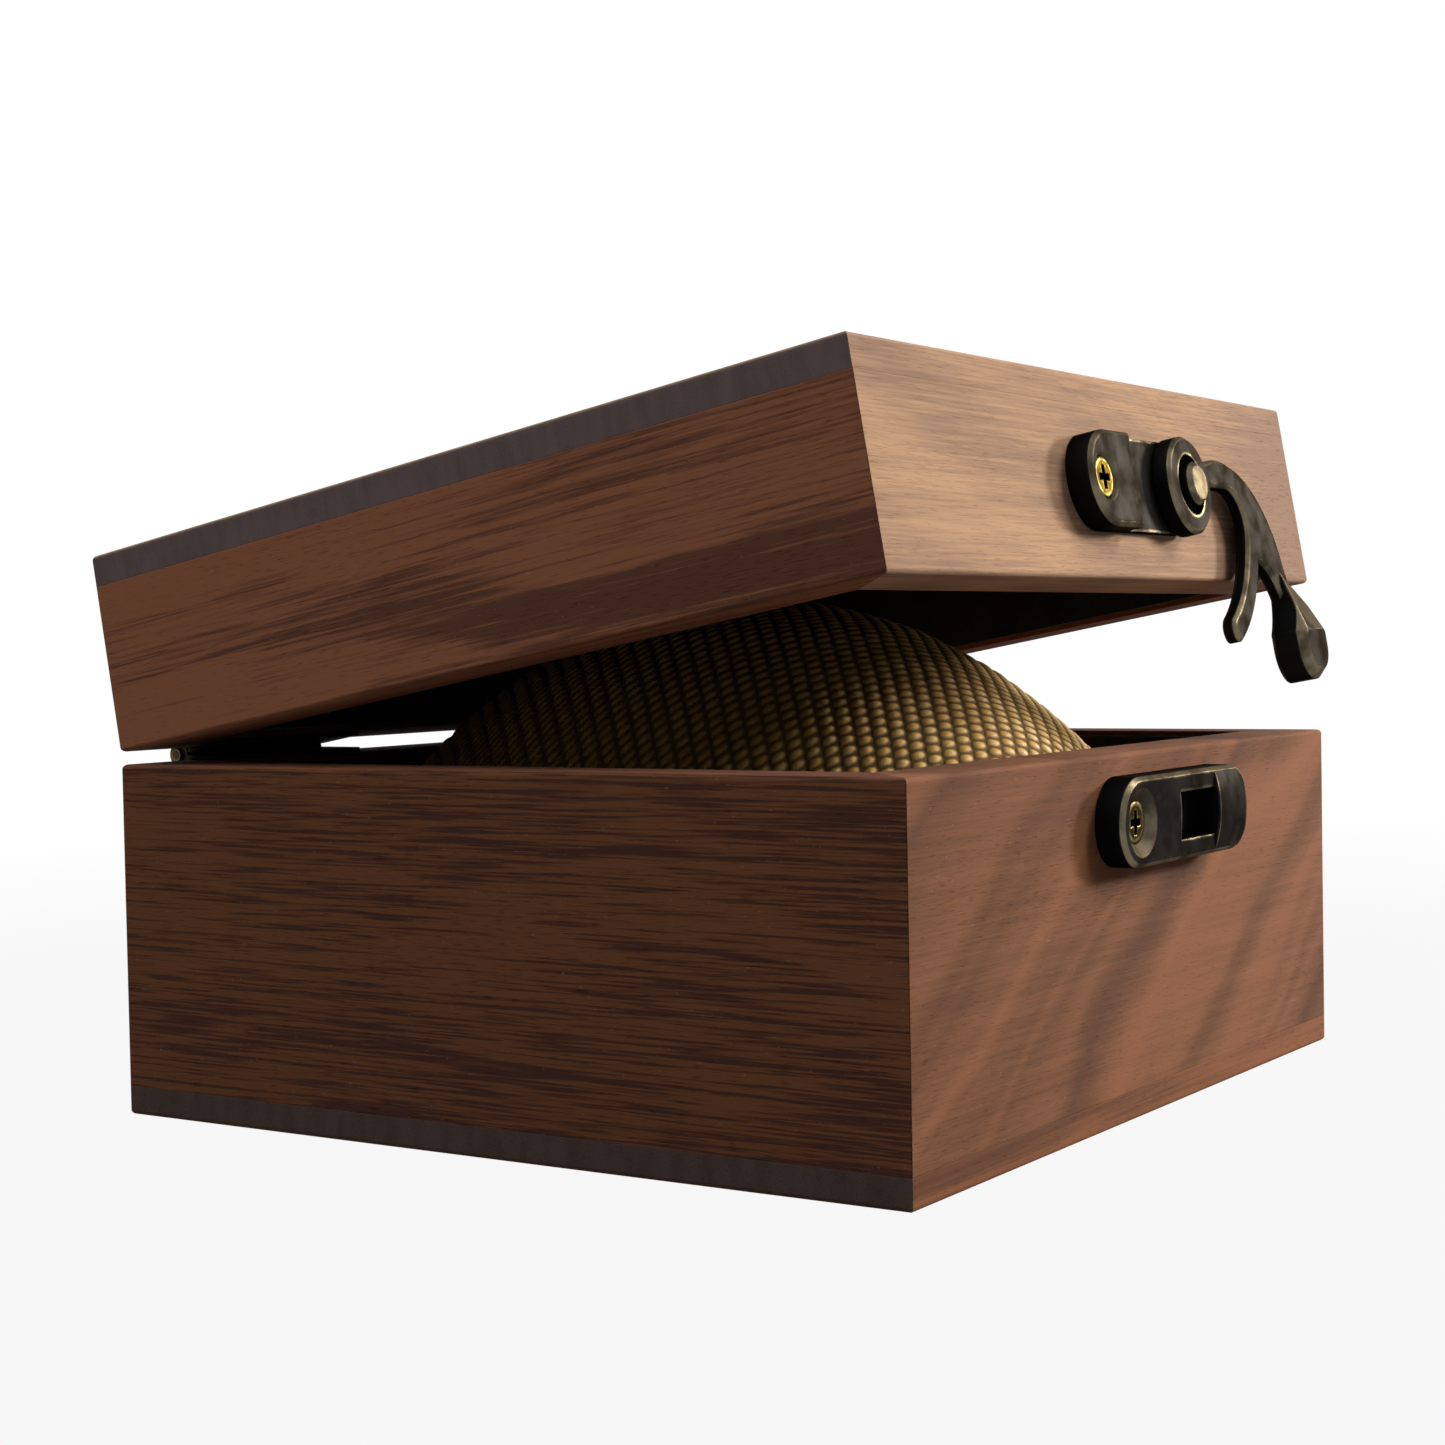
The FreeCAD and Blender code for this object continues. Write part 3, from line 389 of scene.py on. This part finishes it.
def velvetFinish():
    material, tree, shader = newMaterial("black_velvet")
    place = put(tree, "TexCoord").outputs["Object"]
    nap = noise(tree, place, velvet["nap"], velvet["napDetail"])
    pile = noise(tree, place, velvet["pile"], velvet["pileDetail"])
    lay = plus(tree, times(tree, nap, velvet["napShare"]), times(tree, pile, velvet["pileShare"]))
    tone = tint(tree, spread(tree, lay, *velvet["tone"]), velvet["low"], velvet["high"])
    fill(tree, shader, {
        "Base Color": tone, "Roughness": spread(tree, lay, *velvet["rough"]),
        "Specular IOR Level": velvet["specular"], "Sheen Weight": velvet["sheen"],
        "Sheen Roughness": velvet["sheenRough"], "Sheen Tint": velvet["sheenTint"],
        "Normal": relief(tree, velvet["bump"], velvet["bumpDepth"], pile)})
    return material


linings = [n for n in nodes if n.endswith("_lining")]
dress(velvetFinish(), *linings)
print("velvet lining on", len(linings), "panels")


# watch pillow: stuffed by a short cloth simulation, then covered with a ribbed basket weave

pillow = dict(
    voxel=0.0045, start=0.985, footHeight=0.004, steps=20, cap=0.0014,                   # stuffing
    pressure=4.0, quality=6, mass=0.15, stiffness=12.0, bending=1.5,                     # its cloth
    round=640, domeRows=190, footRows=34, domeTo=104.0, domeFade=0.12,                   # grid of the cover
    middle=(0.0, 0.0, 0.022), probe=0.006, passes=6, proud=0.00025,                      # lines to the form
    inset=0.00035,                                                                       # threads' foot
    ribPitch=1.88, bumpPitch=1.26, lean=0.75, rise=0.16, relief=0.30,                    # weave in mm
    ribPower=0.6, bumpPower=1.3, valley=0.25, turn=math.radians(50.0), arcShare=0.6, uvScale=100.0,
    # dark is the colour of the weave's low parts: painted shade in the grooves
    light=(0.80, 0.46, 0.12, 1.0), pale=(0.90, 0.61, 0.22, 1.0), dark=(0.18, 0.103, 0.032, 1.0),
    threadScale=(9.0, 2.2, 1.0), threadShade=0.35, threadRise=0.2, tone=(0.28, 0.86),
    rough=(0.2, 0.95, 0.85, 0.42), specular=0.14, bump=0.55, bumpDepth=0.0003,
)


# sine rib across u, rows of short leaning bumps along v, each row a little higher than the one to its left
def weave(u, v):
    rib = u / pillow["ribPitch"]
    across = rib - np.floor(rib)
    bump = v / pillow["bumpPitch"] - (across - 0.5) * pillow["lean"] - np.floor(rib) * pillow["rise"]
    along = np.abs(np.sin(np.pi * bump)) ** pillow["bumpPower"]
    return np.sin(np.pi * across) ** pillow["ribPower"] * (pillow["valley"] + (1 - pillow["valley"]) * along)


def polarAngles():    # from the top down: fine steps over the dome, wider ones over the sides and foot
    dome = np.linspace(0.0, pillow["domeTo"], pillow["domeRows"], endpoint=False)
    foot = np.linspace(pillow["domeTo"], 180.0, pillow["footRows"] + 1)
    return np.radians(np.concatenate([dome, foot]))


# points[row, column]: the first and last row are single poles, and the columns close round
def closedPolarMesh(name, points):
    rows, count = points.shape[0] - 2, points.shape[1]
    flat = np.concatenate([points[0, :1], points[1:-1].reshape(-1, 3), points[-1, :1]])
    row, col = np.meshgrid(np.arange(rows - 1), np.arange(count), indexing="ij")
    here, beside = 1 + row * count + col, 1 + row * count + (col + 1) % count
    quads = np.stack([here, here + count, beside + count, beside], -1).reshape(-1, 4)
    ring = np.arange(count)
    last = 1 + (rows - 1) * count
    top = np.stack([0 * ring, 1 + ring, 1 + (ring + 1) % count], -1)
    under = np.stack([0 * ring + last + count, last + (ring + 1) % count, last + ring], -1)
    corners = np.concatenate([top.ravel(), quads.ravel(), under.ravel()])
    sizes = np.concatenate([np.full(count, 3), np.full(len(quads), 4), np.full(count, 3)])
    starts = np.concatenate([[0], np.cumsum(sizes)[:-1]])
    mesh = bpy.data.meshes.new(name)
    mesh.vertices.add(len(flat))
    mesh.vertices.foreach_set("co", flat.astype(np.float32).ravel())
    mesh.loops.add(len(corners))
    mesh.loops.foreach_set("vertex_index", corners.astype(np.int32))
    mesh.polygons.add(len(sizes))
    mesh.polygons.foreach_set("loop_start", starts.astype(np.int32))
    mesh.polygons.foreach_set("use_smooth", np.ones(len(sizes), bool))
    mesh.update(calc_edges=True)
    mesh.validate()
    item = bpy.data.objects.new(name, mesh)
    scene.collection.objects.link(item)
    return item, corners


def coordinates(item):    # vertex places after the modifiers
    made = item.evaluated_get(bpy.context.evaluated_depsgraph_get()).data
    places = np.zeros(len(made.vertices) * 3, np.float32)
    made.vertices.foreach_get("co", places)
    return places.reshape(-1, 3).astype(float)


def settle(item):    # makes the modified mesh the object's own
    made = bpy.data.meshes.new_from_object(item.evaluated_get(bpy.context.evaluated_depsgraph_get()))
    item.modifiers.clear()
    item.data = made


def swell(item, start):    # cloth with inner pressure, its foot held, each vertex moved by the cap at most
    low = [int(i) for i in np.flatnonzero(start[:, 2] < start[:, 2].min() + pillow["footHeight"])]
    item.vertex_groups.new(name="foot").add(low, 1.0, "REPLACE")
    cloth = item.modifiers.new("stuffing", "CLOTH").settings
    cloth.quality = pillow["quality"]
    cloth.mass = pillow["mass"]
    cloth.tension_stiffness = cloth.compression_stiffness = pillow["stiffness"]
    cloth.bending_stiffness = pillow["bending"]
    cloth.use_pressure = True
    cloth.uniform_pressure_force = pillow["pressure"]
    cloth.vertex_group_mass = "foot"
    cloth.effector_weights.gravity = 0.0
    for step in range(1, pillow["steps"] + 1):
        scene.frame_set(step)
    moved = coordinates(item) - start
    far = np.linalg.norm(moved, axis=1, keepdims=True)
    moved *= np.minimum(1.0, pillow["cap"] / np.maximum(far, tiny))
    print("pillow stuffed, moved up to %.2f mm" % (mm * far.max()))
    item.modifiers.clear()
    item.data.vertices.foreach_set("co", (start + moved).astype(np.float32).ravel())
    scene.frame_set(1)


def stuffedForm():
    item = bpy.data.objects.new("stuffing", nodes["watch_pillow"].data.copy())
    scene.collection.objects.link(item)
    weld = item.modifiers.new("weld", "WELD")
    weld.merge_threshold = 1e-6
    remesh = item.modifiers.new("remesh", "REMESH")
    remesh.mode = "VOXEL"
    remesh.voxel_size = pillow["voxel"]
    settle(item)
    start = coordinates(item)
    centre = (start.max(0) + start.min(0)) / 2
    start = centre + (start - centre) * pillow["start"]
    item.data.vertices.foreach_set("co", start.astype(np.float32).ravel())
    swell(item, start)
    item.modifiers.new("smooth", "SUBSURF").levels = 2
    settle(item)
    return item


def wrapOnto(target, directions):    # places where lines from the pillow's middle meet the target
    probe = closedPolarMesh("probe", np.array(pillow["middle"]) + pillow["probe"] * directions)[0]
    wrap = probe.modifiers.new("wrap", "SHRINKWRAP")
    wrap.wrap_method = "PROJECT"
    wrap.target = target
    wrap.use_positive_direction = True
    flat = coordinates(probe)
    bpy.data.objects.remove(probe)
    rows, count = directions.shape[:2]
    top, foot = [np.broadcast_to(flat[pole], (1, count, 3)) for pole in (0, -1)]
    return np.concatenate([top, flat[1:-1].reshape(rows - 2, count, 3), foot])


def smoothed(field, passes):    # averages with the four neighbours on the closed grid, poles kept
    for _ in range(passes):
        ring = (np.roll(field, 1, 1) + np.roll(field, -1, 1) + 2 * field) / 4
        ring[1:-1] = (ring[:-2] + ring[2:] + 2 * ring[1:-1]) / 4
        field = ring
    return field


# the stuffed form met by lines from its middle, with the weave's height added along its normals
def makePillow():
    polar = polarAngles()[:, None]
    angle = np.linspace(0.0, 2 * np.pi, pillow["round"], endpoint=False)[None, :]
    directions = np.stack([np.sin(polar) * np.cos(angle), np.sin(polar) * np.sin(angle),
                           np.cos(polar) + 0 * angle], -1)
    middle = np.array(pillow["middle"])
    stuffing = stuffedForm()
    full = np.linalg.norm(wrapOnto(stuffing, directions) - middle, axis=2)
    form = np.linalg.norm(wrapOnto(nodes["watch_pillow"], directions) - middle, axis=2)
    bpy.data.objects.remove(stuffing)
    reach = smoothed(np.minimum(full, form), pillow["passes"])
    ground = middle + (np.minimum(reach, form + pillow["proud"]) - pillow["inset"])[..., None] * directions
    # fabric coordinates in mm: arc length from the top, partly its plan length, turned to the ribs' direction
    steps = np.linalg.norm(np.diff(ground, axis=0), axis=2)
    arc = np.concatenate([np.zeros((1, pillow["round"])), np.cumsum(steps, 0)]) * mm
    plan = np.linalg.norm(ground[..., :2] - ground[0, 0, :2], axis=2) * mm
    plan = np.maximum.accumulate(plan, 0)
    out = pillow["arcShare"] * arc + (1 - pillow["arcShare"]) * plan
    u, v = out * np.cos(angle + pillow["turn"]), out * np.sin(angle + pillow["turn"])
    onDome = np.clip((np.radians(pillow["domeTo"]) - polar) / pillow["domeFade"], 0, 1)
    lift = weave(u, v) * onDome * pillow["relief"] / mm
    lift[0] = lift[0].mean()
    sideways = np.cross(np.roll(ground, -1, 1) - np.roll(ground, 1, 1), np.gradient(ground, axis=0))
    normal = -sideways / np.maximum(np.linalg.norm(sideways, axis=2, keepdims=True), tiny)
    normal[0], normal[-1] = (0, 0, 1), (0, 0, -1)
    normal *= np.sign((normal * directions).sum(2, keepdims=True))
    item, corners = closedPolarMesh("woven_pillow", ground + normal * lift[..., None])
    flatUv = [np.concatenate([w[0, :1], w[1:-1].ravel(), w[-1, :1]]) for w in (u, v)]
    cornerUv = np.stack([w[corners] / pillow["uvScale"] for w in flatUv], -1)
    item.data.uv_layers.new(name="weave").uv.foreach_set("vector", cornerUv.astype(np.float32).ravel())
    return item


def basketGroup():    # the same weave as on the mesh, with a colour value for each bump
    group, takes, gives = newGroup("basketWeave", ["v Place"], ["f Height", "f Bump"])
    parts = put(group, "SeparateXYZ", [takes["Place"]]).outputs
    rib = calc(group, "DIVIDE", parts[0], pillow["ribPitch"])
    across, index = calc(group, "FRACT", rib), calc(group, "FLOOR", rib)
    bump = calc(group, "DIVIDE", parts[1], pillow["bumpPitch"])
    bump = minus(group, bump, times(group, centred(group, across), pillow["lean"]))
    bump = minus(group, bump, times(group, index, pillow["rise"]))
    ribWave = calc(group, "SINE", times(group, across, math.pi))
    bumpWave = calc(group, "ABSOLUTE", calc(group, "SINE", times(group, bump, math.pi)))
    side = calc(group, "POWER", ribWave, pillow["ribPower"])
    along = calc(group, "POWER", bumpWave, pillow["bumpPower"])
    high = times(group, side, plus(group, pillow["valley"], times(group, along, 1 - pillow["valley"])))
    cell = put(group, "CombineXYZ", [index, calc(group, "FLOOR", bump), 0.0]).outputs[0]
    ownTone = put(group, "TexWhiteNoise", [cell], noise_dimensions="2D").outputs[0]
    fill(group, gives, {"Height": high, "Bump": ownTone})
    return group


def pillowFinish():
    material, tree, shader = newMaterial("woven_gold")
    fabric = put(tree, "UVMap", uv_map="weave").outputs[0]
    place = vector(tree, "MULTIPLY", fabric, (pillow["uvScale"], pillow["uvScale"], 0.0))
    weft = useGroup(tree, basketGroup(), Place=place)
    thread = speckle(tree, place, pillow["threadScale"])
    # the weave's low parts take the dark colour: painted shade in the grooves between bumps; the thread noise
    # adds the threads' own tone
    shade = plus(tree, weft["Height"], times(tree, centred(tree, thread), pillow["threadShade"]))
    top = tint(tree, weft["Bump"], pillow["light"], pillow["pale"])
    high = plus(tree, weft["Height"], times(tree, thread, pillow["threadRise"]))
    fill(tree, shader, {
        "Base Color": tint(tree, spread(tree, shade, *pillow["tone"]), pillow["dark"], top),
        "Roughness": spread(tree, shade, *pillow["rough"]), "Specular IOR Level": pillow["specular"],
        "Normal": relief(tree, pillow["bump"], pillow["bumpDepth"], high)})
    return material


wovenPillow = makePillow()
wovenPillow.data.materials.append(pillowFinish())
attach(wovenPillow, "base")
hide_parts("watch_pillow")
print("pillow woven,", len(wovenPillow.data.polygons), "faces")


# stage: pale floor, white surroundings, soft lamps and a camera at the photograph's viewpoint

white = (1.0, 1.0, 1.0, 1.0)
stage = dict(
    floorHalf=2.5, floorTone=(0.15, 0.15, 0.15, 1.0), glow=0.92, fadeFrom=0.13, fadeTo=0.42, world=0.03,
    lampAim=(0.0, 0.0, 0.035),
)


def whiteRays(tree):    # camera, glossy and transmission rays see plain white
    path = put(tree, "LightPath").outputs
    seen = plus(tree, path["Is Camera Ray"], path["Is Glossy Ray"])
    return calc(tree, "ADD", seen, path["Is Transmission Ray"], clamp=True)


def makeFloor():
    half = stage["floorHalf"]
    corners = [(-half, -half, 0), (half, -half, 0), (half, half, 0), (-half, half, 0)]
    mesh = bpy.data.meshes.new("floor")
    mesh.from_pydata(corners, [], [(0, 1, 2, 3)])
    floor = bpy.data.objects.new("floor", mesh)
    scene.collection.objects.link(floor)
    material, tree = bareMaterial("pale_floor")
    matt = put(tree, "BsdfDiffuse", {"Color": stage["floorTone"]})
    glow = put(tree, "Emission", {"Color": white, "Strength": 1.0})
    away = vector(tree, "LENGTH", put(tree, "TexCoord").outputs["Object"])
    fade = spread(tree, away, stage["fadeFrom"], stage["fadeTo"], stage["glow"], 1.0)    # hides the horizon
    share = times(tree, whiteRays(tree), fade)
    mixed = put(tree, "MixShader", [share, matt.outputs[0], glow.outputs[0]])
    put(tree, "OutputMaterial", {"Surface": mixed.outputs[0]})
    mesh.materials.append(material)


def makeWorld():
    world = bpy.data.worlds.new("soft_room")
    scene.world = world
    world.use_nodes = True
    tree = world.node_tree
    tree.nodes.clear()
    strength = put(tree, "MapRange", {0: whiteRays(tree), 3: stage["world"], 4: 1.0}).outputs[0]
    back = put(tree, "Background", {"Color": white, "Strength": strength})
    put(tree, "OutputWorld", {"Surface": back.outputs[0]})


lamps = {    # place and side in metres, power in watts; the small low one draws the lit edge on the pillow
    "key": dict(place=(0.520, -0.590, 0.591), power=6.0, size=0.40, colour=(1.0, 0.96, 0.9)),
    "low_right": dict(place=(0.753, -0.446, 0.250), power=7.4, size=0.12, colour=(1.0, 0.96, 0.9)),
    "left_fill": dict(place=(-0.50, 0.05, 0.80), power=3.5, size=0.6, colour=(0.92, 0.97, 1.0)),
    "top": dict(place=(0.1, 0.1, 0.95), power=1.2, size=0.8, colour=(1.0, 1.0, 1.0)),
}


def makeLamps():
    for name, lamp in lamps.items():
        data = bpy.data.lights.new(name, "AREA")
        data.energy, data.size, data.color = lamp["power"], lamp["size"], lamp["colour"]
        item = bpy.data.objects.new(name, data)
        item.location = lamp["place"]
        away = Vector(stage["lampAim"]) - Vector(lamp["place"])
        item.rotation_euler = away.to_track_quat("-Z", "Y").to_euler()
        scene.collection.objects.link(item)


camera = dict(
    lens=61.3826, sensor=36.0, near=0.005, far=20.0, place=(-0.2295695, -0.1464039, 0.0485222),
    right=(0.54879941, -0.835745, -0.01869514), up=(0.03872296, 0.00307523, 0.99924525),
)


def makeCamera():
    data = bpy.data.cameras.new("photo_view")
    data.lens, data.sensor_width = camera["lens"], camera["sensor"]
    data.clip_start, data.clip_end = camera["near"], camera["far"]
    item = bpy.data.objects.new("photo_view", data)
    right, up = Vector(camera["right"]), Vector(camera["up"])
    turn = Matrix((right, up, right.cross(up))).transposed()
    item.matrix_world = Matrix.Translation(camera["place"]) @ turn.to_4x4()
    scene.collection.objects.link(item)
    scene.camera = item


makeFloor()
makeWorld()
makeLamps()
makeCamera()
print("stage set")
